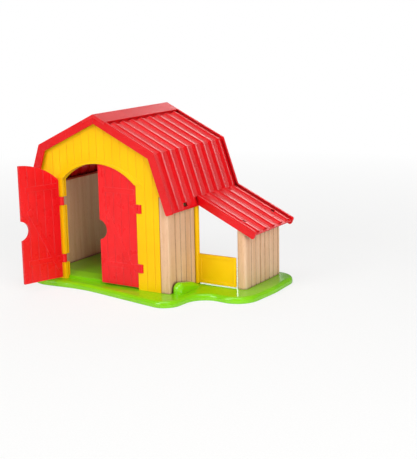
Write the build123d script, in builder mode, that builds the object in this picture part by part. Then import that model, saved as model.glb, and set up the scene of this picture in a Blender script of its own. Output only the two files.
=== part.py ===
from build123d import *
import math
import os

os.makedirs("parts", exist_ok=True)

# A toy barn for small children: beech side boards and moulded walls, doors and roof on a
# moulded grass base.  Sizes are in millimetres.  X runs to the right as seen from the front,
# Y runs to the back and Z runs up.  The origin is on the ground, below the middle of the
# front wall.

# Beech boards
barn_width = 180.0          # over the outer faces of the two main boards
board_thickness = 11.0
board_back = 130.5
board_top = 110.5
lean_board_front = 52.8
lean_width = 62.4           # from the main board to the outer face of the lean-to board
corner_gap = 1.6            # from the right board to the front of the lean-to
plank_pitch = 10.0
plank_first = 13.5          # front edge of a board to its first groove
board_groove_width = 2.0
board_groove_depth = 1.4
board_edge_radius = 1.2
right_board_rear_radius = 0.5
lean_board_edge_radius = 4.0

right_face = barn_width / 2
right_inner = right_face - board_thickness
right_board_back = lean_board_front - corner_gap
lean_board_outer = right_face + lean_width
lean_inner = lean_board_outer - board_thickness

# Base
base_height = 7.0           # top of the grass, where the walls stand
base_skin = 2.6
base_edge_radius = 4.0
base_foot_radius = 0.8
floor_rise = 5.5            # the barn floor stands this far above the grass
floor_front = 4.4           # the threshold behind the closed doors, which stops them
floor_end_gap = 1.5         # the floor reaches this far behind the boards
threshold_rise = 3.4
ramp_length = 14.0
floor_edge_radius = 1.5
front_border = 15.0
back_border = 13.5
left_border = 10.0
right_border = 13.6
base_corners = [            # corner of the wavy outline and the radius that rounds it off
    ((-right_face - left_border, -front_border), 26),
    ((-20, 6.5 - front_border), 150),
    ((right_face + 19, -17.5 - front_border), 19),
    ((right_face + 22, lean_board_front - 28.8), 23),
    ((lean_board_outer + right_border + 5, lean_board_front - 36), 25),
    ((lean_board_outer + right_border + 9, lean_board_front + 27), 90),
    ((lean_board_outer + right_border + 5, board_back + back_border), 24),
    ((right_face + 15, board_back + back_border - 8), 80),
    ((40, board_back + back_border + 2), 110),
    ((-right_face - left_border - 2, board_back + back_border), 24),
    ((-right_face - left_border + 4, 62), 110),
]
base_rib_thickness = 2.0
base_rib_rows = [48.0, 92.0]    # stiffening ribs across the underside

# Roof profile, right side, on the outer faces of the verges
peak = (0.0, 195.0)
knee = (right_face - 12.8, 158.2)
eave = (right_face + 9.4, 95.1)
junction_share = 0.83       # how far down the lower slope the lean-to roof begins
junction = (
    knee[0] + junction_share * (eave[0] - knee[0]),
    knee[1] + junction_share * (eave[1] - knee[1]),
)
lean_eave = (lean_board_outer + 15.2, 72.1)
verge_depth = 9.2
verge_thickness = 2.4
verge_end_radius = 2.2      # rounds the lower corners of the verges
verge_gap = 0.2             # from the verge of the lean-to to its board
roof_front = -4.6
roof_back = board_back + 7.2
lean_front = lean_board_front - verge_thickness - verge_gap
sheet_inset = 3.0           # valleys of the sheet below the verges
sheet_thickness = 1.8
sheet_short = 0.6           # the sheet ends this far above the ends of the verges
rib_inset = 1.2             # crests of the ribs below the verges
rib_width = 9.4
rib_channel_width = 7.0
rib_start = 1.6             # from the edge of the ridge cap to the ribs
channel_start = 4.0
rib_end = 2.6               # the ribs stop this far above the ends of the verges
channel_end = 5.0
rib_pitch = 16.7
rib_first = 10.4
cap_reach = 17.4            # ridge cap, measured down each slope
cap_thickness = sheet_inset
cap_gap = 0.2
ridge_gap = 0.1             # each roof half stops this far from the middle
cap_peg_radius = 2.0
cap_peg_length = 5.5
cap_peg_reach = 10.0
cap_peg_rows = [rib_first + (1.5 + 2 * i) * rib_pitch for i in range(3)]

# Roof clips: a barb in a milled notch of the board, with a mould window above it
clip_width = 6.0
clip_height = 2.4
clip_bite = 2.0
clip_z = 95.8
lean_clip_z = 70.5
lean_clip_arm = 2.2
notch_gap = 0.5
window_height = 4.0
left_clip_rows = [rib_first + rib_pitch, rib_first + 6 * rib_pitch]
clip_shift = 1.4            # of the right half's clips, from the middle of their ribs
right_clip_rows = [rib_first + rib_pitch - clip_shift]
lean_clip_rows = [
    rib_first + 3 * rib_pitch + clip_shift,
    rib_first + 7 * rib_pitch - clip_shift,
]
lean_clip_gap = 0.4
lean_clip_width = 4.4
lean_ledge = 1.6            # wood left above a barb of the lean-to
lean_window_start = 2.6     # from the inner face of the lean-to board to a window
lean_window_length = 4.4
clip_side_gap = 0.4         # from the sides of a barb to the sides of its window

# Front wall and doorway
wall_depth = 7.0
wall_skin = 2.6
wall_rim = 2.4
jamb_depth = 3.8            # the reveal of the doorway
side_gap = 0.2
door_half_width = 50.0      # half the doorway
door_radius = 70.0          # of the arched top of the two leaves together
door_arch_centre = 70.7
door_foot = 9.4
door_gap = 0.4
lip_rise = 1.2              # the moulded band above the doorway stands this far out
lip_top_rise = 2.8
lip_side = 7.5
lip_edge_radius = 0.5
wall_plank_pitch = 10.3
wall_groove_width = 0.7
wall_groove_depth = 0.4
wall_boss_radius = 3.6
wall_boss_height = 14.0
wall_screw_inset = 12.8     # from the side edge of the wall
wall_screw_y = 4.6

# Door leaves
leaf_front = -0.2
leaf_thickness = 3.6
leaf_plank_pitch = 10.0
leaf_groove_width = 0.8
leaf_groove_depth = 0.4
board_rise = 0.35           # rails and brace above the planks
top_rail = (111.1, 116.7)
bottom_rail = (29.0, 34.6)
rail_start = 7.0            # from the meeting edge
rail_end = door_half_width - 2.5
brace_top = (10.0, 91.0)
brace_bottom = (door_half_width - 4.0, 20.0)
brace_width = 5.6
hand_hole_radius = 11.1
hand_hole_centre = (-1.6, 68.9)

# Door hinges
hinge_x = door_half_width + 3.2
hinge_y = 1.8
hinge_heights = [(25.7, 35.7), (90.9, 100.9)]
hinge_pin_radius = 1.3
hinge_bore_gap = 0.06
knuckle_radius = 2.8
swing_gap = 0.15            # from a leaf's edge to the corner of the jamb as it swings
knuckle_gap = 0.35          # above and below a knuckle in its notch
notch_outer = door_half_width + 6.8
leaf_rest_angle = 108.0     # the left leaf stands open at this angle

# Lean-to gate: a low panel on a round post that turns between the base and the roof
gate_post_radius = 2.8
gate_post_gap = 0.5         # behind the right board
gate_pivot_x = right_face + 0.9
gate_pivot_y = right_board_back + gate_post_gap + gate_post_radius
gate_thickness = 3.6
gate_foot = base_height + 1.3
gate_top = 40.5
gate_end = lean_inner - 1.2
gate_post_foot = base_height + 0.4
gate_pivot_radius = 1.5
gate_pivot_depth = 2.4      # into the base
gate_pivot_reach = 3.4      # above the post, into the socket of the roof
gate_panel_inset = 3.4
gate_panel_depth = 0.4
gate_socket_gap = 0.4       # above the post and above its pivot
gate_head_drop = 1.3        # the post ends this far below the verge of the lean-to

# Screws from below
left_screw_rows = [20.0, 66.0, 112.0]
right_screw_rows = [12.0, 41.0]
lean_screw_rows = [68.0, 116.0]
screw_shank_radius = 1.5
screw_head_radius = 3.0
screw_head_height = 1.6
screw_length = 14.0
screw_gap = 0.03
screw_head_gap = 0.8        # from a screw head to the wall of its recess
screw_boss_radius = 4.6
screw_seat = 2.6            # underside of the boss, above the ground
recess_width = 0.8
recess_length = 3.4
recess_depth = 0.8

sheet_under = sheet_inset + sheet_thickness
rib_room = roof_back - verge_thickness - rib_first - rib_width / 2
rib_rows = [rib_first + rib_pitch * i for i in range(int(rib_room / rib_pitch) + 1)]
lean_rib_rows = [y for y in rib_rows if y > lean_front]
short_rib_rows = [y for y in rib_rows if y < lean_front]
main_path = [peak, knee, eave]
lean_path = [peak, knee, junction, lean_eave]


def inset_path(path, depth, start_x=0.0):
    """Move a roof line inwards.  It starts at start_x and ends square to its last slope."""
    directions = []
    for start, end in zip(path[:-1], path[1:]):
        length = math.dist(start, end)
        directions.append(((end[0] - start[0]) / length, (end[1] - start[1]) / length))
    first = directions[0]
    foot_x = path[0][0] + first[1] * depth
    foot_z = path[0][1] - first[0] * depth
    points = [(start_x, foot_z + (start_x - foot_x) * first[1] / first[0])]
    for corner, before, after in zip(path[1:-1], directions[:-1], directions[1:]):
        normal_x = before[1] + after[1]
        normal_z = -before[0] - after[0]
        scale = depth / (1 + before[0] * after[0] + before[1] * after[1])
        points.append((corner[0] + normal_x * scale, corner[1] + normal_z * scale))
    last = directions[-1]
    points.append((path[-1][0] + last[1] * depth, path[-1][1] - last[0] * depth))
    return points


def band(path, outer, inner):
    """Closed section of a roof half between two insets of its line."""
    return inset_path(path, outer, ridge_gap) + inset_path(path, inner, ridge_gap)[::-1]


def point_along(start, end, distance):
    share = distance / math.dist(start, end)
    return (start[0] + share * (end[0] - start[0]), start[1] + share * (end[1] - start[1]))


def below_cap(path, reach):
    """The roof line from a distance below the peak down."""
    return [point_along(path[0], path[1], reach)] + path[1:]


def short_of_eave(path, distance):
    """The roof line to a distance short of the eave."""
    return path[:-1] + [point_along(path[-1], path[-2], distance)]


def square_start(path, depth):
    """The first point of a line, moved inwards square to its first slope."""
    run = math.dist(path[0], path[1])
    along = ((path[1][0] - path[0][0]) / run, (path[1][1] - path[0][1]) / run)
    return (path[0][0] + along[1] * depth, path[0][1] - along[0] * depth)


def square_band(path, outer, inner):
    """Like band, with both ends square to their slopes."""
    upper = [square_start(path, outer)] + inset_path(path, outer)[1:]
    lower = [square_start(path, inner)] + inset_path(path, inner)[1:]
    return upper + lower[::-1]


def verge_section(path):
    """Section of a verge, lowered near the ridge to carry the cap."""
    start = below_cap(path, cap_reach + cap_gap)
    outer = inset_path(path, 0)[1:]
    inner = inset_path(path, verge_depth, ridge_gap)[::-1]
    seat = [inset_path(path, cap_thickness, ridge_gap)[0], square_start(start, cap_thickness)]
    return seat + [start[0]] + outer + inner


def verge_end(path):
    """The two lower corners of a verge, which are rounded."""
    return [inset_path(path, depth)[-1] for depth in (0, verge_depth)]


def x_on_slope(z, depth):
    """X of the lower main slope at a height, at an inset."""
    upper, lower = inset_path(main_path, depth)[1:]
    return upper[0] + (upper[1] - z) / (upper[1] - lower[1]) * (lower[0] - upper[0])


def z_on_slope(x, depth):
    """Height of the lower main slope at an X, at an inset."""
    upper, lower = inset_path(main_path, depth)[1:]
    return upper[1] - (x - upper[0]) / (lower[0] - upper[0]) * (upper[1] - lower[1])


def z_on_lean(x, depth):
    """Height of the lean-to slope at an X, at an inset."""
    upper, lower = inset_path(lean_path, depth)[2:]
    return upper[1] - (x - upper[0]) / (lower[0] - upper[0]) * (upper[1] - lower[1])


def slab(points, front, back, mode=Mode.ADD, round_corners=(), radius=1.0):
    """Extrude a section of the XZ plane from one Y to another, some corners rounded."""
    with BuildSketch(Plane.XZ.offset(-back)) as section:
        with BuildLine():
            Polyline(*points, close=True)
        make_face()
        for corner in round_corners:
            fillet(section.vertices().sort_by_distance(corner)[0], radius)
    extrude(section.sketch, amount=back - front, mode=mode)


def block(x_range, y_range, z_range, mode=Mode.ADD):
    """Box between two X, two Y and two Z values."""
    centre = [(low + high) / 2 for low, high in (x_range, y_range, z_range)]
    with Locations(tuple(centre)):
        Box(
            x_range[1] - x_range[0],
            y_range[1] - y_range[0],
            z_range[1] - z_range[0],
            mode=mode,
        )


def upright(centre, radius, z_range, mode=Mode.ADD):
    """Upright cylinder between two heights."""
    with Locations((centre[0], centre[1], z_range[0])):
        Cylinder(
            radius,
            z_range[1] - z_range[0],
            align=(Align.CENTER, Align.CENTER, Align.MIN),
            mode=mode,
        )


def finish_part(part, name):
    part.label = name
    export_step(part, "parts/" + name + ".step")
    print(name, "solids", len(part.solids()), "volume", round(part.volume))


# Screw places, shared by the base, the boards and the screws
left_board_x = -right_face + board_thickness / 2
right_board_x = right_face - board_thickness / 2
lean_board_x = lean_board_outer - board_thickness / 2
wall_edge = right_inner - side_gap
wall_screw_x = wall_edge - wall_screw_inset
left_screws = [(left_board_x, y) for y in left_screw_rows]
right_screws = [(right_board_x, y) for y in right_screw_rows]
lean_screws = [(lean_board_x, y) for y in lean_screw_rows]
wall_screws = [(-wall_screw_x, wall_screw_y), (wall_screw_x, wall_screw_y)]
all_screws = left_screws + right_screws + lean_screws + wall_screws

# Base: a hollow grass plate with a raised barn floor between the boards and a rounded bank
# along the foot of the right board
inner_floor = right_inner - 0.3
bank_left = right_face + 0.3
bank_width = 11.5
bank_radius = 4.8
bank_side = [               # Y and Z of the right bank, highest near the front
    (3.0, base_height - 1),
    (3.0, base_height + 13.0),
    (right_board_back - 18.0, base_height + 7.5),
    (right_board_back - 2.0, base_height - 1),
]
bank_front_radius = 7.5
bank_crest_radius = 30.0
left_bank_range = (10.0, board_back - 8.5)
left_bank_width = 4.0
left_bank_height = 4.0

with BuildSketch() as grass:
    with BuildLine():
        Polyline(*[corner for corner, radius in base_corners], close=True)
    make_face()
    for corner, radius in base_corners:
        fillet(grass.vertices().sort_by_distance(corner)[0], radius)

with BuildPart() as base:
    extrude(grass.sketch, amount=base_height)
    fillet(base.edges().filter_by_position(Axis.Z, base_height, base_height), base_edge_radius)
    fillet(base.edges().filter_by_position(Axis.Z, 0, 0), base_foot_radius)

    # Barn floor: threshold, ramp, then level
    ramp_end = floor_front + ramp_length
    floor_back = board_back + floor_end_gap
    floor_top = base_height + floor_rise
    with BuildSketch(Plane.YZ.offset(-inner_floor)) as floor_side:
        with BuildLine():
            Polyline(
                (floor_front, base_height - 1),
                (floor_front, base_height + threshold_rise),
                (ramp_end, floor_top),
                (floor_back, floor_top),
                (floor_back, base_height - 1),
                close=True,
            )
        make_face()
    extrude(amount=2 * inner_floor)
    for side in (-1, 1):
        wall_zone = sorted((side * (door_half_width - 0.6), side * (inner_floor + 1)))
        block(
            wall_zone,
            (floor_front - 1, wall_screw_y + wall_boss_radius + 0.6),
            (base_height, floor_top + 1),
            mode=Mode.SUBTRACT,
        )
    crests = base.edges().filter_by_position(Axis.Z, floor_top - 0.01, floor_top + 0.01)
    fillet(crests.filter_by(Axis.Y) + crests.sort_by(Axis.Y)[-1:], floor_edge_radius)

    # Banks that hold the feet of the main boards from outside
    with BuildPart(mode=Mode.PRIVATE) as right_bank:
        with BuildSketch(Plane.YZ.offset(bank_left)) as bank_outline:
            with BuildLine():
                Polyline(*bank_side, close=True)
            make_face()
            for corner, radius in (
                (bank_side[1], bank_front_radius),
                (bank_side[2], bank_crest_radius),
            ):
                fillet(bank_outline.vertices().sort_by_distance(corner)[0], radius)
        extrude(amount=bank_width)
        rims = right_bank.faces().sort_by(Axis.X)[0].edges()
        rims += right_bank.faces().sort_by(Axis.X)[-1].edges()
        fillet(rims.filter_by(lambda edge: edge.center().Z > base_height), bank_radius)
    add(right_bank.part)
    with BuildPart(mode=Mode.PRIVATE) as left_bank:
        block(
            (-bank_left - left_bank_width, -bank_left),
            left_bank_range,
            (base_height - 1, base_height + left_bank_height),
        )
        fillet(left_bank.edges().filter_by(Axis.Z), left_bank_width / 2 - 0.2)
        fillet(left_bank.edges().group_by(Axis.Z)[-1], left_bank_width / 2 - 0.4)
    add(left_bank.part)

    # Hollow underside
    with BuildSketch() as hollow:
        add(grass.sketch)
        offset(amount=-base_skin)
    extrude(hollow.sketch, amount=base_height - base_skin, mode=Mode.SUBTRACT)
    floor_hollow = [
        (-inner_floor + base_skin, inner_floor - base_skin),
        (ramp_end + 1, floor_back - base_skin),
    ]
    block(*floor_hollow, (0, floor_top - base_skin), mode=Mode.SUBTRACT)

    # Stiffening ribs under the boards, the middle and across
    half_rib = base_rib_thickness / 2
    rib_columns = (left_board_x, 0, right_board_x, lean_board_x)
    far = 2 * lean_board_outer
    with BuildSketch() as ribs:
        for x in rib_columns:
            with Locations((x, 0)):
                Rectangle(base_rib_thickness, far)
        for y in base_rib_rows:
            with Locations((0, y)):
                Rectangle(far, base_rib_thickness)
        with BuildSketch(mode=Mode.INTERSECT):
            add(grass.sketch)
            offset(amount=-base_skin / 2)
    extrude(ribs.sketch, amount=base_height - base_skin / 2)
    rib_top = floor_top - base_skin / 2
    block((-half_rib, half_rib), floor_hollow[1], (0, rib_top))
    for y in base_rib_rows:
        block(floor_hollow[0], (y - half_rib, y + half_rib), (0, rib_top))
    for place in all_screws:
        upright(place, screw_boss_radius, (screw_seat, base_height - base_skin + 0.1))
    for place in all_screws:
        upright(place, screw_shank_radius + screw_gap, (0, base_height), mode=Mode.SUBTRACT)
        upright(place, screw_head_radius + screw_head_gap, (0, screw_seat), mode=Mode.SUBTRACT)

    # Socket of the gate's lower pivot
    upright(
        (gate_pivot_x, gate_pivot_y),
        gate_pivot_radius + hinge_bore_gap,
        (0, base_height),
        mode=Mode.SUBTRACT,
    )
finish_part(base.part, "grass_base")


def cut_planks(face_x, start, end, outward, z_range):
    """V grooves along the outer face of a board."""
    row = start + plank_first
    while row < end - plank_pitch / 3:
        tip = face_x - outward * board_groove_depth
        side = face_x + outward * 0.01
        with BuildSketch(Plane.XY.offset(z_range[0])) as groove:
            with BuildLine():
                Polyline(
                    (side, row - board_groove_width / 2),
                    (side, row + board_groove_width / 2),
                    (tip, row),
                    close=True,
                )
            make_face()
        extrude(groove.sketch, amount=z_range[1] - z_range[0], mode=Mode.SUBTRACT)
        row += plank_pitch


def cut_screw_holes(places):
    for place in places:
        upright(
            place,
            screw_shank_radius + screw_gap,
            (base_height - 1, screw_seat + screw_length + 0.5),
            mode=Mode.SUBTRACT,
        )


def cut_clip_notches(rows, outward):
    """Milled notches in the outer face of a main board for the roof barbs."""
    bottom = clip_z - notch_gap
    deep = right_face - clip_bite - notch_gap
    for row in rows:
        block(
            sorted((outward * deep, outward * (right_face + 1))),
            (row - clip_width / 2 - notch_gap, row + clip_width / 2 + notch_gap),
            (bottom, clip_z + clip_height + notch_gap),
            mode=Mode.SUBTRACT,
        )


# Main boards: beech, bevelled along the top so that the roof slope lies on them
main_board_section = [
    (right_inner, base_height),
    (right_face, base_height),
    (right_face, z_on_slope(right_face, sheet_under)),
    (x_on_slope(board_top, sheet_under), board_top),
    (right_inner, board_top),
]

with BuildPart() as left_board:
    slab([(-x, z) for x, z in main_board_section], 0, board_back)
    fillet(left_board.edges().filter_by(Axis.Z), board_edge_radius)
    cut_planks(-right_face, 0, board_back, -1, (base_height, board_top))
    cut_screw_holes(left_screws)
    cut_clip_notches(left_clip_rows, -1)
finish_part(left_board.part, "left_wall_board")

with BuildPart() as right_board:
    slab(main_board_section, 0, right_board_back)
    right_uprights = right_board.edges().filter_by(Axis.Z).group_by(Axis.Y)
    fillet(right_uprights[0], board_edge_radius)
    fillet(right_uprights[-1], right_board_rear_radius)
    cut_planks(right_face, 0, right_board_back, 1, (base_height, board_top))
    cut_screw_holes(right_screws)
    cut_clip_notches(right_clip_rows, 1)
finish_part(right_board.part, "right_wall_board")

# Lean-to board: the roof slope lies on its slanted top.  A tool through a window of the roof
# and the slot below it pushes a barb out of its notch.
lean_board_top = z_on_lean(lean_inner, sheet_under)
lean_windows = (
    lean_inner + lean_window_start,
    lean_inner + lean_window_start + lean_window_length,
)
with BuildPart() as lean_board:
    slab(
        [
            (lean_inner, base_height),
            (lean_board_outer, base_height),
            (lean_board_outer, z_on_lean(lean_board_outer, sheet_under)),
            (lean_inner, lean_board_top),
        ],
        lean_board_front,
        board_back,
    )
    uprights = lean_board.edges().filter_by(Axis.Z).group_by(Axis.Y)
    fillet(uprights[0], lean_board_edge_radius)
    fillet(uprights[-1], board_edge_radius)
    cut_planks(
        lean_board_outer,
        lean_board_front,
        board_back,
        1,
        (base_height, lean_board_top),
    )
    cut_screw_holes(lean_screws)
    for row in lean_clip_rows:
        block(
            (lean_inner - 1, lean_inner + clip_bite + notch_gap),
            (row - lean_clip_width / 2 - notch_gap, row + lean_clip_width / 2 + notch_gap),
            (lean_clip_z - notch_gap, lean_clip_z + clip_height + notch_gap),
            mode=Mode.SUBTRACT,
        )
        block(
            (lean_inner + lean_ledge, lean_windows[1]),
            (row - lean_clip_width / 2 + clip_side_gap, row + lean_clip_width / 2 - clip_side_gap),
            (lean_clip_z - notch_gap, lean_board_top),
            mode=Mode.SUBTRACT,
        )
finish_part(lean_board.part, "lean_to_wall_board")

# Front wall: a hollow moulded gable with the arched doorway
wall_shoulder = board_top + 0.5
roof_clear = sheet_under + 0.3
wall_knee = inset_path(main_path, roof_clear)[1]
wall_peak = inset_path(main_path, roof_clear)[0]
wall_right = [
    (wall_edge, base_height),
    (wall_edge, wall_shoulder),
    (x_on_slope(wall_shoulder, roof_clear), wall_shoulder),
    wall_knee,
]
wall_outline = [(-x, z) for x, z in wall_right] + [wall_peak] + wall_right[::-1]
opening_radius = door_radius + door_gap
spring = door_arch_centre + math.sqrt(opening_radius**2 - door_half_width**2)


def doorway_sketch(grow):
    """Arched doorway outline, grown all round."""
    half = door_half_width + grow
    radius = opening_radius + grow
    spring_z = door_arch_centre + math.sqrt(radius**2 - half**2)
    with BuildSketch(Plane.XZ.offset(-wall_depth - 1)) as outline:
        with BuildLine():
            Polyline((half, spring_z), (half, 0), (-half, 0), (-half, spring_z))
            ThreePointArc(
                (-half, spring_z), (0, door_arch_centre + radius), (half, spring_z)
            )
        make_face()
    return outline.sketch


with BuildPart() as front_wall:
    slab(wall_outline, 0, wall_depth)
    # pocket behind the skin, with a rim left round the edge and round the doorway
    with BuildSketch(Plane.XZ.offset(-wall_depth)) as pocket:
        with BuildLine():
            Polyline(*wall_outline, close=True)
        make_face()
        offset(amount=-wall_rim, kind=Kind.INTERSECTION)
    extrude(pocket.sketch, amount=wall_depth - wall_skin, mode=Mode.SUBTRACT)
    frame_outer = notch_outer - door_half_width + wall_rim
    with BuildSketch(Plane.XZ.offset(-jamb_depth)) as frame:
        with BuildLine():
            Polyline(*wall_outline, close=True)
        make_face()
        with BuildLine():
            frame_half = door_half_width + frame_outer
            frame_top = spring + 2
            Polyline(
                (frame_half, frame_top),
                (frame_half, 0),
                (-frame_half, 0),
                (-frame_half, frame_top),
            )
            ThreePointArc(
                (-frame_half, frame_top),
                (0, door_arch_centre + opening_radius + wall_rim + 1),
                (frame_half, frame_top),
            )
        make_face(mode=Mode.INTERSECT)
    extrude(frame.sketch, amount=jamb_depth - wall_skin)
    # screw bosses
    for place in wall_screws:
        upright(place, wall_boss_radius, (base_height, base_height + wall_boss_height))
    # moulded band above the doorway
    with BuildSketch(Plane.XZ) as lip:
        with BuildLine():
            band_half = door_half_width + lip_side
            band_foot = spring + 1.5
            band_top = door_arch_centre + opening_radius + lip_top_rise
            inner_half = math.sqrt(opening_radius**2 - (band_foot - door_arch_centre) ** 2)
            ThreePointArc((-band_half, band_foot), (0, band_top), (band_half, band_foot))
            Line((band_half, band_foot), (inner_half, band_foot))
            ThreePointArc(
                (inner_half, band_foot),
                (0, door_arch_centre + opening_radius),
                (-inner_half, band_foot),
            )
            Line((-inner_half, band_foot), (-band_half, band_foot))
        make_face()
    extrude(amount=lip_rise)
    fillet(front_wall.edges().group_by(Axis.Y)[0], lip_edge_radius)
    extrude(doorway_sketch(0), amount=wall_depth + 3, mode=Mode.SUBTRACT)
    # plank grooves, stopped by the band and the doorway
    grooves = []
    count = int(wall_edge // wall_plank_pitch)
    for i in range(-count, count + 1):
        grooves.append(i * wall_plank_pitch)
    band_rise = band_top - band_foot
    band_radius = (band_half**2 + band_rise**2) / (2 * band_rise)
    for x in grooves:
        foot = base_height
        if abs(x) < band_half + wall_groove_width:
            foot = band_top - band_radius + math.sqrt(band_radius**2 - x**2) + 0.8
        block(
            (x - wall_groove_width / 2, x + wall_groove_width / 2),
            (-0.1, wall_groove_depth),
            (foot, peak[1]),
            mode=Mode.SUBTRACT,
        )
    # hinge notches through the jambs, each with its moulded pin
    for side in (-1, 1):
        for low, high in hinge_heights:
            block(
                sorted((side * (door_half_width - 1), side * notch_outer)),
                (-1, wall_depth + 1),
                (low, high),
                mode=Mode.SUBTRACT,
            )
            upright((side * hinge_x, hinge_y), hinge_pin_radius, (low - 0.5, high + 0.5))
    for place in wall_screws:
        upright(
            place,
            screw_shank_radius + screw_gap,
            (base_height - 1, screw_seat + screw_length + 0.5),
            mode=Mode.SUBTRACT,
        )
finish_part(front_wall.part, "front_wall")


# Door leaves: modelled closed on the right, then mirrored and swung for the left
jamb_corner = math.hypot(hinge_x - door_half_width, hinge_y)
leaf_edge = hinge_x - jamb_corner - swing_gap
leaf_meeting = 0.35
leaf_back = leaf_front + leaf_thickness

with BuildPart() as right_leaf:
    leaf_spring = door_arch_centre + math.sqrt(door_radius**2 - leaf_edge**2)
    meeting_top = door_arch_centre + math.sqrt(door_radius**2 - leaf_meeting**2)
    middle_x = (leaf_edge + leaf_meeting) / 2
    with BuildSketch(Plane.XZ.offset(-leaf_back + board_rise)) as leaf_outline:
        with BuildLine():
            Polyline(
                (leaf_meeting, meeting_top),
                (leaf_meeting, door_foot),
                (leaf_edge, door_foot),
                (leaf_edge, leaf_spring),
            )
            ThreePointArc(
                (leaf_edge, leaf_spring),
                (middle_x, door_arch_centre + math.sqrt(door_radius**2 - middle_x**2)),
                (leaf_meeting, meeting_top),
            )
        make_face()
    extrude(amount=leaf_thickness - 2 * board_rise)
    # plank grooves on both faces
    for i in range(1, 5):
        x = i * leaf_plank_pitch
        for face_y, inward in ((leaf_front + board_rise, 1), (leaf_back - board_rise, -1)):
            block(
                (x - leaf_groove_width / 2, x + leaf_groove_width / 2),
                sorted((face_y - inward, face_y + inward * leaf_groove_depth)),
                (door_foot - 1, meeting_top),
                mode=Mode.SUBTRACT,
            )
    # rails and brace, proud on both faces
    rail_face = (leaf_front, leaf_back)
    for low, high in (top_rail, bottom_rail):
        block((rail_start, rail_end), rail_face, (low, high))
    run = math.dist(brace_top, brace_bottom)
    across_x = (brace_top[1] - brace_bottom[1]) / run * brace_width / 2
    across_z = (brace_bottom[0] - brace_top[0]) / run * brace_width / 2
    slab(
        [
            (brace_top[0] - across_x, brace_top[1] - across_z),
            (brace_top[0] + across_x, brace_top[1] + across_z),
            (brace_bottom[0] + across_x, brace_bottom[1] + across_z),
            (brace_bottom[0] - across_x, brace_bottom[1] - across_z),
        ],
        leaf_front,
        leaf_back,
    )
    # hand hole at the meeting edge
    with BuildSketch(Plane.XZ.offset(-leaf_back - 1)) as hand_hole:
        with Locations(hand_hole_centre):
            Circle(hand_hole_radius)
    extrude(amount=leaf_thickness + 2, mode=Mode.SUBTRACT)
    # knuckles, snapped over the pins of the jamb
    for low, high in hinge_heights:
        z_range = (low + knuckle_gap, high - knuckle_gap)
        block(
            (leaf_edge - 3, hinge_x),
            (hinge_y - knuckle_radius + 0.8, leaf_back - board_rise),
            z_range,
        )
        upright((hinge_x, hinge_y), knuckle_radius, z_range)
        upright(
            (hinge_x, hinge_y),
            hinge_pin_radius + hinge_bore_gap,
            (low, high),
            mode=Mode.SUBTRACT,
        )
finish_part(right_leaf.part, "right_door")

mirrored_leaf = right_leaf.part.mirror(Plane.YZ)
left_hinge = Axis((-hinge_x, hinge_y, 0), (0, 0, 1))
left_leaf = Part(mirrored_leaf.rotate(left_hinge, -leaf_rest_angle).wrapped)
finish_part(left_leaf, "left_door")

# Gate: a panel and its full-height post in one moulding, with a pivot at either end
gate_head = z_on_lean(gate_pivot_x, verge_depth) - gate_head_drop
gate_pivot = (gate_pivot_x, gate_pivot_y)
gate_faces = (gate_pivot_y - gate_thickness / 2, gate_pivot_y + gate_thickness / 2)
with BuildPart() as gate:
    block((gate_pivot_x, gate_end), gate_faces, (gate_foot, gate_top))
    free_edges = gate.edges().filter_by(Axis.Z).sort_by(Axis.X)[-2:]
    fillet(free_edges, gate_thickness / 2 - 0.1)
    for face_y, inward in ((gate_faces[0], 1), (gate_faces[1], -1)):
        block(
            (gate_pivot_x + gate_post_radius + gate_panel_inset, gate_end - gate_panel_inset),
            sorted((face_y - inward, face_y + inward * gate_panel_depth)),
            (gate_foot + gate_panel_inset, gate_top - gate_panel_inset),
            mode=Mode.SUBTRACT,
        )
    upright(gate_pivot, gate_post_radius, (gate_post_foot, gate_head))
    upright(gate_pivot, gate_pivot_radius, (base_height - gate_pivot_depth, gate_foot))
    upright(gate_pivot, gate_pivot_radius, (gate_head - 1, gate_head + gate_pivot_reach))
finish_part(gate.part, "lean_to_gate")


def slope_line(path, row):
    """The line of the valleys along a roof path, at one Y, with square ends."""
    points = [square_start(path, sheet_inset)] + inset_path(path, sheet_inset)[1:]
    with BuildLine():
        spine = Polyline(*[(x, row, z) for x, z in points])
    return spine


def rib_form(path, row, width, height, root, mode=Mode.ADD):
    """An arched bar along the slopes, from its root up to a height above the valleys."""
    spine = slope_line(path, row)
    half = width / 2
    with BuildSketch(Plane(origin=spine @ 0, x_dir=(0, 1, 0), z_dir=spine % 0)) as section:
        with BuildLine():
            ThreePointArc((-half, root), (0, height), (half, root))
            Polyline((half, root), (half, root - 1), (-half, root - 1), (-half, root))
        make_face()
    sweep(section.sketch, path=spine, transition=Transition.RIGHT, mode=mode)


def ribs(path, rows):
    """The ribs of one path, then their hollows on the underside."""
    outside = short_of_eave(below_cap(path, cap_reach + rib_start), rib_end)
    inside = short_of_eave(below_cap(path, cap_reach + channel_start), channel_end)
    crest = sheet_inset - rib_inset
    for row in rows:
        rib_form(outside, row, rib_width, crest, 0)
    for row in rows:
        rib_form(
            inside,
            row,
            rib_channel_width,
            crest - sheet_thickness,
            -sheet_thickness,
            mode=Mode.SUBTRACT,
        )


def verge(path, front, back):
    slab(
        verge_section(path),
        front,
        back,
        round_corners=verge_end(path),
        radius=verge_end_radius,
    )


def cap_peg_line(side, row):
    """Axis of a cap peg, square to the slope: its top point and its direction."""
    run = math.dist(peak, knee)
    along = ((knee[0] - peak[0]) / run, (knee[1] - peak[1]) / run)
    top_x = peak[0] + along[0] * cap_peg_reach + along[1] * cap_thickness
    top_z = peak[1] + along[1] * cap_peg_reach - along[0] * cap_thickness
    origin = (side * top_x, row, top_z)
    direction = (side * along[1], 0, -along[0])
    return Plane(origin=origin, x_dir=(0, 1, 0), z_dir=direction)


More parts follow.
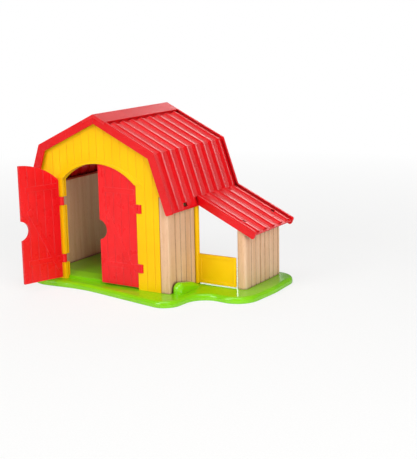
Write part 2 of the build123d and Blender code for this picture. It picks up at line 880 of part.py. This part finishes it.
def cut_peg_holes():
    for row in cap_peg_rows:
        with BuildSketch(cap_peg_line(1, row).offset(-1)) as hole:
            Circle(cap_peg_radius + 0.05)
        extrude(hole.sketch, amount=sheet_thickness + 3, mode=Mode.SUBTRACT)


def main_clip(row):
    """Barb from the lower slope into the board's notch and the mould window above it."""
    surface = x_on_slope(clip_z + clip_height, sheet_under)
    block(
        (right_face - clip_bite, surface + 1.2),
        (row - clip_width / 2, row + clip_width / 2),
        (clip_z, clip_z + clip_height),
    )
    block(
        (right_face + notch_gap, eave[0]),
        (row - clip_width / 2 + clip_side_gap, row + clip_width / 2 - clip_side_gap),
        (clip_z + clip_height, clip_z + clip_height + window_height),
        mode=Mode.SUBTRACT,
    )


# Left roof half, modelled on the right and mirrored
main_sheet = short_of_eave(main_path, sheet_short)
lean_sheet = short_of_eave(lean_path, sheet_short)
with BuildPart() as left_half:
    slab(band(main_sheet, sheet_inset, sheet_under), roof_front, roof_back)
    verge(main_path, roof_front, roof_front + verge_thickness)
    verge(main_path, roof_back - verge_thickness, roof_back)
    ribs(main_path, rib_rows)
    cut_peg_holes()
    for row in left_clip_rows:
        main_clip(row)
finish_part(Part(left_half.part.mirror(Plane.YZ).wrapped), "left_roof")

# Right roof half, with the lean-to roof moulded on behind
lean_verge_back = lean_front + verge_thickness
with BuildPart() as right_half:
    slab(band(main_sheet, sheet_inset, sheet_under), roof_front, lean_verge_back)
    slab(band(lean_sheet, sheet_inset, sheet_under), lean_front, roof_back)
    verge(main_path, roof_front, roof_front + verge_thickness)
    verge(lean_path, roof_back - verge_thickness, roof_back)
    # front verge of the lean-to, cut back beside the main board
    with BuildPart(mode=Mode.PRIVATE) as lean_verge:
        lean_lines = [inset_path(lean_path, depth)[2:] for depth in (0, verge_depth)]
        slab(
            lean_lines[0] + lean_lines[1][::-1],
            lean_front,
            lean_verge_back,
            round_corners=verge_end(lean_path),
            radius=verge_end_radius,
        )
        block(
            (right_inner, right_face + side_gap),
            (lean_front, lean_verge_back),
            (0, junction[1]),
            mode=Mode.SUBTRACT,
        )
    add(lean_verge.part)
    ribs(main_path, short_rib_rows)
    ribs(lean_path, lean_rib_rows)
    cut_peg_holes()
    for row in right_clip_rows:
        main_clip(row)
    # clips of the lean-to, behind the inner face of its board
    arm_right = lean_inner - lean_clip_gap
    arm_left = arm_right - lean_clip_arm
    for row in lean_clip_rows:
        rows = (row - lean_clip_width / 2, row + lean_clip_width / 2)
        arm_top = z_on_lean(arm_right, sheet_inset - 0.5)
        block((arm_left, arm_right), rows, (lean_clip_z, arm_top))
        block(
            (arm_left, lean_inner + clip_bite),
            rows,
            (lean_clip_z, lean_clip_z + clip_height),
        )
        block(
            lean_windows,
            (rows[0] + clip_side_gap, rows[1] - clip_side_gap),
            (lean_clip_z + clip_height + 2, junction[1]),
            mode=Mode.SUBTRACT,
        )
    # socket of the gate's upper pivot
    with BuildPart(mode=Mode.PRIVATE) as socket:
        upright(gate_pivot, gate_post_radius, (gate_head + gate_socket_gap, knee[1]))
        upright(
            gate_pivot,
            gate_pivot_radius + hinge_bore_gap,
            (gate_head, gate_head + gate_pivot_reach + gate_socket_gap),
            mode=Mode.SUBTRACT,
        )
        ceiling = inset_path(lean_path, sheet_inset + sheet_thickness / 2)
        slab(
            ceiling + [(ceiling[-1][0], 0), (0, 0)],
            right_board_back,
            board_back,
            mode=Mode.INTERSECT,
        )
    add(socket.part)
finish_part(right_half.part, "right_roof")

# Ridge cap: a folded strip over the joint of the two halves, on six pegs
with BuildPart() as ridge_cap:
    low = below_cap(main_path, cap_reach)[0]
    cap_line = [peak, low]
    right_section = inset_path(cap_line, 0) + inset_path(cap_line, cap_thickness)[::-1]
    slab(right_section, roof_front, roof_back)
    slab([(-x, z) for x, z in right_section], roof_front, roof_back)
    for side in (-1, 1):
        for row in cap_peg_rows:
            with BuildSketch(cap_peg_line(side, row).offset(-0.5)) as peg:
                Circle(cap_peg_radius)
            extrude(peg.sketch, amount=cap_peg_length + 0.5)
finish_part(ridge_cap.part, "ridge_cap")


def screw_group(places, name):
    """Pan head screws, driven up through the base."""
    with BuildPart() as screws:
        for place in places:
            upright(place, screw_shank_radius, (screw_seat, screw_seat + screw_length))
            upright(place, screw_head_radius, (screw_seat - screw_head_height, screw_seat))
        fillet(screws.edges().group_by(Axis.Z)[0], 0.5)
        chamfer(screws.edges().group_by(Axis.Z)[-1], 1.2)
        head_face = screw_seat - screw_head_height
        for place in places:
            for half_x, half_y in (
                (recess_length / 2, recess_width / 2),
                (recess_width / 2, recess_length / 2),
            ):
                block(
                    (place[0] - half_x, place[0] + half_x),
                    (place[1] - half_y, place[1] + half_y),
                    (head_face - 1, head_face + recess_depth),
                    mode=Mode.SUBTRACT,
                )
    finish_part(screws.part, name)


screw_group(left_screws, "left_board_screws")
screw_group(right_screws, "right_board_screws")
screw_group(lean_screws, "lean_to_board_screws")
screw_group(wall_screws, "front_wall_screws")
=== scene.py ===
import bpy
import math
from mathutils import Matrix, Vector

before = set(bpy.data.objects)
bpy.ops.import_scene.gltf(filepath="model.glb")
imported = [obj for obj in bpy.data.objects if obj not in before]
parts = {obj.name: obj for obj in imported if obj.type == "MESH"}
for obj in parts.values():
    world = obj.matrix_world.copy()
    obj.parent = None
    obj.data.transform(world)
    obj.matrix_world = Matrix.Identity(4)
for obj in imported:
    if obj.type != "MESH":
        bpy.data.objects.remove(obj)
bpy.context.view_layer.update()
mm = 0.001
print("barn frame loaded:", len(parts), "pieces")


def srgb(hexColour):
    # sRGB hex to the linear values that the shaders use
    channels = [int(hexColour[i:i + 2], 16) / 255 for i in (1, 3, 5)]
    linear = [c / 12.92 if c <= 0.04045 else ((c + 0.055) / 1.055) ** 2.4 for c in channels]
    return (*linear, 1.0)


def perMm(*steps):
    # pattern scale for features of so many millimetres along X, Y and Z
    return tuple(1000.0 / step for step in steps)


def addNode(tree, kind, settings=None, inputs=None, output=0):
    # one node with its settings, its values or links, and the output that is wanted
    node = tree.nodes.new("ShaderNode" + kind)
    for key, value in (settings or {}).items():
        if key == "stops":
            band = node.color_ramp.elements
            while len(band) < len(value):
                band.new(1.0)
            for element, (place, tone) in zip(band, value):
                element.position = place
                element.color = srgb(tone)
        else:
            setattr(node, key, value)
    for socket, value in (inputs or {}).items():
        if isinstance(value, bpy.types.NodeSocket):
            tree.links.new(value, node.inputs[socket])
        else:
            node.inputs[socket].default_value = value
    return node.outputs[output] if node.outputs else node


def emptyMaterial(name):
    material = bpy.data.materials.new(name)
    material.use_nodes = True
    material.node_tree.nodes.clear()
    return material, material.node_tree


def edgesAndGrooves(tree, finish, wearGain=6.0):
    # the rounded normal, a mask that is 1 on the edges where it leaves the flat one (wear
    # and painted highlight), and a mask that is 1 deep in grooves, holes and contacts (painted
    # shade)
    rounded = addNode(tree, "Bevel", {"samples": 6}, {"Radius": finish["edgeRadiusMm"] * mm})
    flat = addNode(tree, "NewGeometry", output="Normal")
    alike = addNode(tree, "VectorMath", {"operation": "DOT_PRODUCT"}, {0: rounded, 1: flat},
                    output="Value")
    away = addNode(tree, "Math", {"operation": "SUBTRACT"}, {0: 1.0, 1: alike})
    edgeWearAndHighlightMask = addNode(tree, "Math", {"operation": "MULTIPLY", "use_clamp": True},
                   {0: away, 1: wearGain})
    openness = addNode(tree, "AmbientOcclusion",
                       {"samples": 8, "only_local": finish["ownOnly"]},
                       {"Distance": finish["sightMm"] * mm}, output="AO")
    grooveShade = addNode(tree, "MapRange", {"clamp": True}, {
        "Value": openness, "From Min": finish["darkAt"], "From Max": finish["clearAt"],
        "To Min": 1.0, "To Max": 0.0})
    return rounded, edgeWearAndHighlightMask, grooveShade


# What moulding and handling leave on every ABS piece. Scuffs are 0.1 mm wide in life and the
# etched grain is 0.25 mm, and both are drawn coarser to show.
absMarks = {
    "ior": 1.53, "flowAt": (0.3, 0.7),
    "scuffMm": ((0.5, 9.0, 14.0), (11.0, 12.0, 0.5)), "scuffAt": (0.66, 0.78),
    "scuffDulls": 0.10, "wearDulls": 0.06, "smudgeMm": (16, 16, 22),
    "waveMm": 28, "waveStrength": 0.5, "grainHeightMm": 0.03,
}


# Injection-moulded ABS from a polished or lightly etched mould: a bright, even colour under
# a clear soft shine, with faint flow mottling, sink waves, hairline scuffs and rubbed edges,
# the edges also painted paler as highlight, and painted shade in grooves, holes and contacts
def mouldedAbs(name, finish, marks=absMarks):
    material, tree = emptyMaterial(name)
    place = addNode(tree, "TexCoord", output="Object")
    rounded, edgeWearAndHighlightMask, grooveShade = edgesAndGrooves(tree, finish)

    # colour: slow flow mottling, edges a little paler for wear and painted highlight, and
    # painted shade deep in grooves, holes and contacts
    flowPlace = addNode(tree, "Mapping", None,
                        {"Vector": place, "Scale": perMm(*[finish["mottleMm"]] * 3)})
    flow = addNode(tree, "TexNoise", None, {"Vector": flowPlace, "Scale": 1.0, "Detail": 2.0})
    deepAt, fullAt = marks["flowAt"]
    tone = addNode(tree, "ValToRGB", {"stops": [(deepAt, finish["deepColour"]),
                                                (fullAt, finish["colour"])]}, {"Fac": flow})
    paleEdge = addNode(tree, "Math", {"operation": "MULTIPLY"}, {0: edgeWearAndHighlightMask, 1: finish["edgeWearAndHighlight"]})
    tone = addNode(tree, "Mix", {"data_type": "RGBA"},
                   {0: paleEdge, 6: tone, 7: srgb(finish["edgeWearAndHighlightColour"])}, output=2)
    shadeDepth = addNode(tree, "Math", {"operation": "MULTIPLY"},
                    {0: grooveShade, 1: finish["grooveShadeDepth"]})
    tone = addNode(tree, "Mix", {"data_type": "RGBA"},
                   {0: shadeDepth, 6: tone, 7: srgb(finish["grooveShadeColour"])}, output=2)

    # hairline scuffs in two directions
    scuffs = []
    noneAt, fullAt = marks["scuffAt"]
    for steps in marks["scuffMm"]:
        line = addNode(tree, "Mapping", None, {"Vector": place, "Scale": perMm(*steps)})
        line = addNode(tree, "TexNoise", None, {"Vector": line, "Scale": 1.0, "Detail": 2.0})
        scuffs.append(addNode(tree, "ValToRGB", {"stops": [(noneAt, "#000000"),
                                                           (fullAt, "#FFFFFF")]},
                              {"Fac": line}))
    scuff = addNode(tree, "Math", {"operation": "MAXIMUM"}, {0: scuffs[0], 1: scuffs[1]})

    # shine: finger smudges about 20 mm across, duller on scuffs and on rubbed edges
    smudge = addNode(tree, "Mapping", None,
                     {"Vector": place, "Scale": perMm(*marks["smudgeMm"])})
    smudge = addNode(tree, "TexNoise", None, {"Vector": smudge, "Scale": 1.0, "Detail": 4.0})
    rough = addNode(tree, "MapRange", None, {
        "Value": smudge, "To Min": finish["roughness"] - finish["roughnessSpread"],
        "To Max": finish["roughness"] + finish["roughnessSpread"]})
    dull = addNode(tree, "Math", {"operation": "MULTIPLY_ADD"},
                   {0: scuff, 1: marks["scuffDulls"], 2: rough})
    dull = addNode(tree, "Math", {"operation": "MULTIPLY_ADD", "use_clamp": True},
                   {0: edgeWearAndHighlightMask, 1: marks["wearDulls"], 2: dull})

    # relief: etched mould grain over long sink waves
    wavePlace = addNode(tree, "Mapping", None,
                        {"Vector": place, "Scale": perMm(*[marks["waveMm"]] * 3)})
    waves = addNode(tree, "TexNoise", None, {"Vector": wavePlace, "Scale": 1.0, "Detail": 1.0})
    grainPlace = addNode(tree, "Mapping", None,
                         {"Vector": place, "Scale": perMm(*[finish["grainMm"]] * 3)})
    grain = addNode(tree, "TexNoise", None, {"Vector": grainPlace, "Scale": 1.0, "Detail": 2.0})
    relief = addNode(tree, "Bump", None, {"Height": waves, "Normal": rounded,
                                          "Strength": marks["waveStrength"],
                                          "Distance": finish["waveHeightMm"] * mm})
    relief = addNode(tree, "Bump", None, {"Height": grain, "Normal": relief,
                                          "Strength": finish["grainStrength"],
                                          "Distance": marks["grainHeightMm"] * mm})

    skin = addNode(tree, "BsdfPrincipled", None, {
        "Base Color": tone, "Roughness": dull, "Normal": relief, "IOR": marks["ior"],
        "Specular IOR Level": finish["shine"]})
    addNode(tree, "OutputMaterial", None, {"Surface": skin})
    return material


redRoof = {
    "colour": "#E40D16", "deepColour": "#DA0810", "edgeWearAndHighlightColour": "#F4464C", "edgeWearAndHighlight": 0.4,
    # painted shade: how far a groove is looked into, the openness that is dark and clear, and
    # whether only the piece's own surfaces close it; here near black in the windows, the rib
    # valleys and where other pieces come close
    "sightMm": 8.0, "darkAt": 0.34, "clearAt": 0.6, "ownOnly": False,
    "grooveShadeColour": "#0C0001", "grooveShadeDepth": 0.97,
    "shine": 0.34, "roughness": 0.23, "roughnessSpread": 0.04, "mottleMm": 26.0,
    "grainMm": 0.7, "grainStrength": 0.2, "waveHeightMm": 0.05, "edgeRadiusMm": 0.35,
}
# painted shade of the same kind, shallower and only from the piece's own surfaces
shallowGrooves = {"sightMm": 2.0, "darkAt": 0.1, "clearAt": 0.5, "ownOnly": True}
redDoors = dict(redRoof, colour="#F1131B", deepColour="#E80E15", edgeWearAndHighlightColour="#FF6E74",
                edgeWearAndHighlight=0.6, grooveShadeColour="#A00408", grooveShadeDepth=0.5, roughness=0.28,
                **shallowGrooves)
redRidge = dict(redRoof, shine=0.55, roughness=0.3, **shallowGrooves)
yellowGable = {
    "colour": "#FFC905", "deepColour": "#FCC103", "edgeWearAndHighlightColour": "#FFD84F", "edgeWearAndHighlight": 0.4,
    **shallowGrooves, "grooveShadeColour": "#F0A800", "grooveShadeDepth": 0.2,
    "shine": 0.15, "roughness": 0.36, "roughnessSpread": 0.05, "mottleMm": 34.0,
    "grainMm": 0.6, "grainStrength": 0.3, "waveHeightMm": 0.04, "edgeRadiusMm": 0.35,
}
# the gate is the gable's yellow, painted a little brighter against the shade it stands in
gateYellowLifted = dict(yellowGable, colour="#FFCC0E", deepColour="#FDC408", roughness=0.32)
greenBase = {
    "colour": "#88D60C", "deepColour": "#7CCA07", "edgeWearAndHighlightColour": "#A5DF4C", "edgeWearAndHighlight": 0.35,
    # painted shade in the base's grooves and hollows
    "sightMm": 2.5, "darkAt": 0.1, "clearAt": 0.6, "ownOnly": True,
    "grooveShadeColour": "#3F8204", "grooveShadeDepth": 0.5,
    "shine": 0.6, "roughness": 0.15, "roughnessSpread": 0.04, "mottleMm": 30.0,
    "grainMm": 1.2, "grainStrength": 0.08, "waveHeightMm": 0.10, "edgeRadiusMm": 0.5,
}


# Planed and sanded beech under a thin clear lacquer: pinkish tan with vertical grain, growth
# bands 5 to 9 mm wide, short dark ray flecks and a dull soft shine
def sandedBeech(name, finish):
    material, tree = emptyMaterial(name)
    place = addNode(tree, "TexCoord", output="Object")
    rounded, edgeWearAndHighlightMask, grooveShade = edgesAndGrooves(tree, finish)

    # growth bands: soft across the board and very long along it, bent by a slow wander
    wander = addNode(tree, "Mapping", None,
                     {"Vector": place, "Scale": perMm(*finish["wanderStepMm"])})
    wander = addNode(tree, "TexNoise", None, {"Vector": wander, "Scale": 1.0, "Detail": 1.0},
                     output="Color")
    bent = addNode(tree, "VectorMath", {"operation": "MULTIPLY_ADD"},
                   {0: wander, 1: (finish["wanderMm"] * mm,) * 3, 2: place})
    bands = addNode(tree, "Mapping", None, {"Vector": bent, "Scale": perMm(*finish["bandMm"])})
    bands = addNode(tree, "TexNoise", None, {"Vector": bands, "Scale": 1.0, "Detail": 3.0,
                                             "Roughness": 0.6})
    lateAt, midAt, earlyAt = finish["bandsAt"]
    tone = addNode(tree, "ValToRGB", {"stops": [
        (lateAt, finish["lateWood"]), (midAt, finish["colour"]), (earlyAt, finish["earlyWood"])]},
        {"Fac": bands})

    # pores, 0.1 mm wide in life and drawn 0.35 mm wide, give the fine vertical streaks
    pores = addNode(tree, "Mapping", None, {"Vector": bent, "Scale": perMm(*finish["poreMm"])})
    pores = addNode(tree, "TexNoise", None, {"Vector": pores, "Scale": 1.0, "Detail": 4.0,
                                             "Roughness": 0.7})
    noneAt, fullAt = finish["poresAt"]
    streaks = addNode(tree, "ValToRGB", {"stops": [(noneAt, "#000000"), (fullAt, "#FFFFFF")]},
                      {"Fac": pores})
    amount = addNode(tree, "Math", {"operation": "MULTIPLY"},
                     {0: streaks, 1: finish["streakDepth"]})
    tone = addNode(tree, "Mix", {"data_type": "RGBA"},
                   {0: amount, 6: tone, 7: srgb(finish["poreColour"])}, output=2)

    # ray flecks: brown dashes 2 to 4 mm long, on about half of their places
    flecks = addNode(tree, "Mapping", None, {"Vector": place, "Scale": perMm(*finish["fleckMm"])})
    flecks = addNode(tree, "TexVoronoi", None, {"Vector": flecks, "Scale": 1.0},
                     output="Distance")
    some = addNode(tree, "Math", {"operation": "GREATER_THAN"},
                   {0: flecks.node.outputs["Color"], 1: finish["fleckGaps"]})
    coreTo, rimTo = finish["fleckEdge"]
    dash = addNode(tree, "ValToRGB", {"stops": [(coreTo, "#FFFFFF"), (rimTo, "#000000")]},
                   {"Fac": flecks})
    dash = addNode(tree, "Math", {"operation": "MULTIPLY"}, {0: dash, 1: some})
    amount = addNode(tree, "Math", {"operation": "MULTIPLY"}, {0: dash, 1: finish["fleckDepth"]})
    tone = addNode(tree, "Mix", {"data_type": "RGBA"},
                   {0: amount, 6: tone, 7: srgb(finish["fleckColour"])}, output=2)
    # edges a little paler for wear and painted highlight
    paleEdge = addNode(tree, "Math", {"operation": "MULTIPLY"}, {0: edgeWearAndHighlightMask, 1: finish["edgeWearAndHighlight"]})
    tone = addNode(tree, "Mix", {"data_type": "RGBA"},
                   {0: paleEdge, 6: tone, 7: srgb(finish["edgeWearAndHighlightColour"])}, output=2)
    # painted shade: the milled plank grooves, and where other pieces come close, are darkened
    shadeDepth = addNode(tree, "Math", {"operation": "MULTIPLY"},
                    {0: grooveShade, 1: finish["grooveShadeDepth"]})
    tone = addNode(tree, "Mix", {"data_type": "RGBA"},
                   {0: shadeDepth, 6: tone, 7: srgb(finish["grooveShadeColour"])}, output=2)

    # the wood is duller in its pores, and they lie a little lower
    smoothest, roughest = finish["roughness"]
    rough = addNode(tree, "MapRange", None,
                    {"Value": bands, "To Min": smoothest, "To Max": roughest})
    rough = addNode(tree, "Math", {"operation": "MULTIPLY_ADD", "use_clamp": True},
                    {0: streaks, 1: finish["poreDulls"], 2: rough})
    lifted = addNode(tree, "Math", {"operation": "MULTIPLY_ADD"},
                     {0: streaks, 1: -finish["poreSinks"], 2: bands})
    relief = addNode(tree, "Bump", None, {"Height": lifted, "Normal": rounded,
                                          "Strength": finish["reliefStrength"],
                                          "Distance": finish["reliefMm"] * mm})
    skin = addNode(tree, "BsdfPrincipled", None, {
        "Base Color": tone, "Roughness": rough, "Normal": relief, "IOR": finish["ior"],
        "Coat Weight": finish["lacquer"], "Coat Roughness": finish["lacquerRoughness"]})
    addNode(tree, "OutputMaterial", None, {"Surface": skin})
    return material


beechBoards = {
    "colour": "#EAC09B", "lateWood": "#DFB088", "earlyWood": "#F1CDAC",
    "bandMm": (6.0, 6.0, 210.0), "bandsAt": (0.32, 0.5, 0.68),
    "wanderMm": 5.0, "wanderStepMm": (60, 60, 45),
    "poreColour": "#BF8A5C", "streakDepth": 0.4, "poreMm": (0.35, 0.35, 16.0),
    "poresAt": (0.4, 0.75), "poreDulls": 0.08, "poreSinks": 0.6,
    "fleckColour": "#A06C44", "fleckDepth": 0.55, "fleckMm": (0.8, 0.8, 6.5),
    "fleckGaps": 0.45, "fleckEdge": (0.10, 0.24),
    "edgeWearAndHighlightColour": "#EED0B0", "edgeWearAndHighlight": 0.3, "edgeRadiusMm": 0.2,
    # painted shade in the plank grooves and against other pieces
    "sightMm": 3.0, "darkAt": 0.35, "clearAt": 0.88, "ownOnly": False,
    "grooveShadeColour": "#5E3114", "grooveShadeDepth": 0.92,
    "roughness": (0.5, 0.66), "reliefStrength": 0.35, "reliefMm": 0.08,
    "ior": 1.5, "lacquer": 0.12, "lacquerRoughness": 0.35,
}


# Zinc-plated steel, turned and blue-passivated: pale cool grey with a soft blurred gleam
def platedSteel(name, finish):
    material, tree = emptyMaterial(name)
    place = addNode(tree, "TexCoord", output="Object")
    rounded = addNode(tree, "Bevel", {"samples": 6}, {"Radius": finish["edgeRadiusMm"] * mm})
    haze = addNode(tree, "Mapping", None,
                   {"Vector": place, "Scale": perMm(*[finish["hazeMm"]] * 3)})
    haze = addNode(tree, "TexNoise", None, {"Vector": haze, "Scale": 1.0, "Detail": 4.0})
    dullAt, brightAt = finish["hazeAt"]
    tone = addNode(tree, "ValToRGB", {"stops": [(dullAt, finish["dull"]),
                                                (brightAt, finish["colour"])]}, {"Fac": haze})
    smoothest, roughest = finish["roughness"]
    rough = addNode(tree, "MapRange", None,
                    {"Value": haze, "To Min": smoothest, "To Max": roughest})
    turned = addNode(tree, "Mapping", None,
                     {"Vector": place, "Scale": perMm(*finish["ringMm"])})
    turned = addNode(tree, "TexNoise", None, {"Vector": turned, "Scale": 1.0, "Detail": 1.0})
    relief = addNode(tree, "Bump", None, {"Height": turned, "Normal": rounded,
                                          "Strength": finish["ringStrength"],
                                          "Distance": finish["ringHeightMm"] * mm})
    skin = addNode(tree, "BsdfPrincipled", None, {
        "Base Color": tone, "Roughness": rough, "Normal": relief, "Metallic": 1.0})
    addNode(tree, "OutputMaterial", None, {"Surface": skin})
    return material


# lathe rings are 0.15 mm apart in life, and drawn 0.3 mm apart to show
screwSteel = {
    "colour": "#C9CDD2", "dull": "#A9AEB4", "hazeMm": 1.6, "hazeAt": (0.3, 0.7),
    "roughness": (0.26, 0.46), "ringMm": (0.3, 0.3, 4.0), "ringStrength": 0.2,
    "ringHeightMm": 0.02, "edgeRadiusMm": 0.25,
}


def dress(material, *nodeNames):
    for name in nodeNames:
        slots = parts[name].data.materials
        if not slots:
            slots.append(material)
        for i in range(len(slots)):
            slots[i] = material


dress(mouldedAbs("moulded_red_abs_roof", redRoof), "left_roof", "right_roof")
dress(mouldedAbs("moulded_red_abs_doors", redDoors), "left_door", "right_door")
dress(mouldedAbs("moulded_red_abs_ridge", redRidge), "ridge_cap")
dress(mouldedAbs("moulded_yellow_abs", yellowGable), "front_wall")
dress(mouldedAbs("moulded_yellow_abs_gate_lifted", gateYellowLifted), "lean_to_gate")
dress(mouldedAbs("moulded_green_abs", greenBase), "grass_base")
dress(sandedBeech("sanded_beech", beechBoards),
      "left_wall_board", "right_wall_board", "lean_to_wall_board")
dress(platedSteel("zinc_plated_steel", screwSteel),
      "left_board_screws", "right_board_screws", "lean_to_board_screws", "front_wall_screws")
print("materials on", len(parts), "pieces")


# Studio: a pale round floor that fades into a white surround, and large soft lamps. Its
# lengths are in metres unless a name says otherwise.
roofPieces = ("left_roof", "right_roof", "ridge_cap")
studio = {
    "floorColour": "#F4F4F2", "fibreColour": "#E9E8E4", "fibreMm": 1.5, "fibreAt": (0.3, 0.6),
    "floorRoughness": 0.75, "floorRadius": 5.0, "floorRings": 12, "ringGrowth": 1.5,
    "floorSides": 96,
    "fadeFrom": 0.4, "fadeTo": 1.1, "nearWhite": 0.75, "roomLight": 0.15,
    "lamps": [
        # name, place, aim, width and height in metres, watts
        ("frontWindow", (-0.5, -1.5, 1.0), (0.02, 0.05, 0.08), 1.0, 1.0, 13.2),
        ("skyPanel", (0.1, -0.4, 1.75), (0.02, 0.06, 0.08), 1.4, 1.4, 11.2),
        ("sidePanel", (1.4, -0.8, 0.75), (0.03, 0.06, 0.08), 0.9, 0.9, 18.6),
        ("backFill", (-0.7, 1.3, 1.4), (0.03, 0.07, 0.1), 0.9, 0.9, 5.0),
    ],
    "softOnly": ("sidePanel", "backFill"),  # they light the pieces, but don't show in gloss
    "sheens": [
        # reflectors that show only in the gloss of some pieces: as above, and the pieces
        ("sheenPanel", (-0.25, 1.55, 1.25), (0.03, 0.06, 0.15), 1.2, 0.8, 1.7, roofPieces),
        ("crestPanel", (-0.3, 1.48, 0.6), (0.05, 0.06, 0.15), 0.6, 0.3, 3.4, roofPieces),
        ("horizonPanel", (0.3, 1.48, 0.35), (0.08, 0.06, 0.12), 0.8, 0.3, 2.3, roofPieces),
        ("risePanel", (0.95, 1.2, 0.5), (0.08, 0.06, 0.12), 0.7, 0.5, 0.45, roofPieces),
        ("gateGlint", (-0.67, 1.34, 0.42), (0.11, 0.06, 0.0), 0.3, 0.2, 0.55, ("grass_base",)),
    ],
}


def paperFloor(spec):
    material, tree = emptyMaterial("white_studio_paper")
    place = addNode(tree, "TexCoord", output="Object")
    fibre = addNode(tree, "Mapping", None,
                    {"Vector": place, "Scale": perMm(*[spec["fibreMm"]] * 3)})
    fibre = addNode(tree, "TexNoise", None, {"Vector": fibre, "Scale": 1.0, "Detail": 3.0})
    greyAt, whiteAt = spec["fibreAt"]
    tone = addNode(tree, "ValToRGB", {"stops": [(greyAt, spec["fibreColour"]),
                                                (whiteAt, spec["floorColour"])]},
                   {"Fac": fibre})
    paper = addNode(tree, "BsdfPrincipled", None,
                    {"Base Color": tone, "Roughness": spec["floorRoughness"]})
    # for the camera the paper is whiter, and plain white far from the barn
    away = addNode(tree, "VectorMath", {"operation": "LENGTH"}, {0: place}, output="Value")
    fade = addNode(tree, "MapRange", {"clamp": True}, {
        "Value": away, "From Min": spec["fadeFrom"], "From Max": spec["fadeTo"],
        "To Min": spec["nearWhite"]})
    seen = addNode(tree, "LightPath", output="Is Camera Ray")
    share = addNode(tree, "Math", {"operation": "MULTIPLY"}, {0: fade, 1: seen})
    white = addNode(tree, "Emission", None, {"Strength": 1.0})
    mix = addNode(tree, "MixShader", None, {0: share, 1: paper, 2: white})
    addNode(tree, "OutputMaterial", None, {"Surface": mix})
    return material


def makeFloor(spec):
    # a disc of rings that grow outwards, so that its faces are small near the barn
    rings, sides = spec["floorRings"], spec["floorSides"]
    corners = [(0.0, 0.0, 0.0)]
    for ring in range(1, rings + 1):
        radius = spec["floorRadius"] * (ring / rings) ** spec["ringGrowth"]
        for side in range(sides):
            turn = 2 * math.pi * side / sides
            corners.append((radius * math.cos(turn), radius * math.sin(turn), 0.0))
    faces = [(0, 1 + i, 1 + (i + 1) % sides) for i in range(sides)]
    for ring in range(rings - 1):
        inner, outer = 1 + ring * sides, 1 + (ring + 1) * sides
        for i in range(sides):
            j = (i + 1) % sides
            faces.append((inner + i, outer + i, outer + j, inner + j))
    mesh = bpy.data.meshes.new("studioFloor")
    mesh.from_pydata(corners, [], faces)
    mesh.materials.append(paperFloor(spec))
    floor = bpy.data.objects.new("studioFloor", mesh)
    bpy.context.scene.collection.objects.link(floor)


def makeRoom(spec):
    world = bpy.data.worlds.new("whiteRoom")
    bpy.context.scene.world = world
    world.use_nodes = True
    tree = world.node_tree
    tree.nodes.clear()
    rays = addNode(tree, "LightPath", output="Is Camera Ray")
    seen = addNode(tree, "Math", {"operation": "MAXIMUM"},
                   {0: rays, 1: rays.node.outputs["Is Transmission Ray"]})
    room = addNode(tree, "Background", None, {"Color": (1, 1, 1, 1),
                                              "Strength": spec["roomLight"]})
    white = addNode(tree, "Background", None, {"Color": (1, 1, 1, 1), "Strength": 1.0})
    mix = addNode(tree, "MixShader", None, {0: seen, 1: room, 2: white})
    addNode(tree, "OutputWorld", None, {"Surface": mix})


def makeLamp(name, place, aim, width, height, watts):
    lamp = bpy.data.lights.new(name, "AREA")
    lamp.shape = "RECTANGLE"
    lamp.size, lamp.size_y = width, height
    lamp.energy = watts
    holder = bpy.data.objects.new(name, lamp)
    holder.location = place
    holder.rotation_euler = (Vector(aim) - Vector(place)).to_track_quat("-Z", "Y").to_euler()
    bpy.context.scene.collection.objects.link(holder)
    return holder


def makeLamps(spec):
    for row in spec["lamps"]:
        makeLamp(*row).visible_glossy = row[0] not in spec["softOnly"]
    for *row, pieces in spec["sheens"]:
        holder = makeLamp(*row)
        holder.visible_diffuse = False
        lit = bpy.data.collections.new(row[0] + "Pieces")
        for piece in pieces:
            lit.objects.link(parts[piece])
        holder.light_linking.receiver_collection = lit


makeFloor(studio)
makeRoom(studio)
makeLamps(studio)
print("studio ready")

# The photograph's viewpoint, solved from the barn's own corners
viewpoint = {
    "azimuth": 31.93, "elevation": 12.32, "roll": -1.11, "nearestMm": 10,
    "placeMm": (698.33, -896.14, 313.18), "lensMm": 83.03, "sensorMm": 36.0,
}


def makeCamera(spec):
    turn, rise, roll = (math.radians(spec[k]) for k in ("azimuth", "elevation", "roll"))
    back = Vector((math.sin(turn) * math.cos(rise), -math.cos(turn) * math.cos(rise),
                   math.sin(rise)))
    level = Vector((math.cos(turn), math.sin(turn), 0.0))
    upright = back.cross(level)
    across = math.cos(roll) * level + math.sin(roll) * upright
    up = math.cos(roll) * upright - math.sin(roll) * level
    lens = bpy.data.cameras.new("photoCamera")
    lens.sensor_width = spec["sensorMm"]
    lens.lens = spec["lensMm"]
    lens.clip_start = spec["nearestMm"] * mm
    camera = bpy.data.objects.new("photoCamera", lens)
    camera.matrix_world = Matrix((
        (across.x, up.x, back.x, spec["placeMm"][0] * mm),
        (across.y, up.y, back.y, spec["placeMm"][1] * mm),
        (across.z, up.z, back.z, spec["placeMm"][2] * mm),
        (0.0, 0.0, 0.0, 1.0)))
    bpy.context.scene.collection.objects.link(camera)
    bpy.context.scene.camera = camera


makeCamera(viewpoint)
bpy.context.scene.view_settings.view_transform = "Standard"
print("camera set")
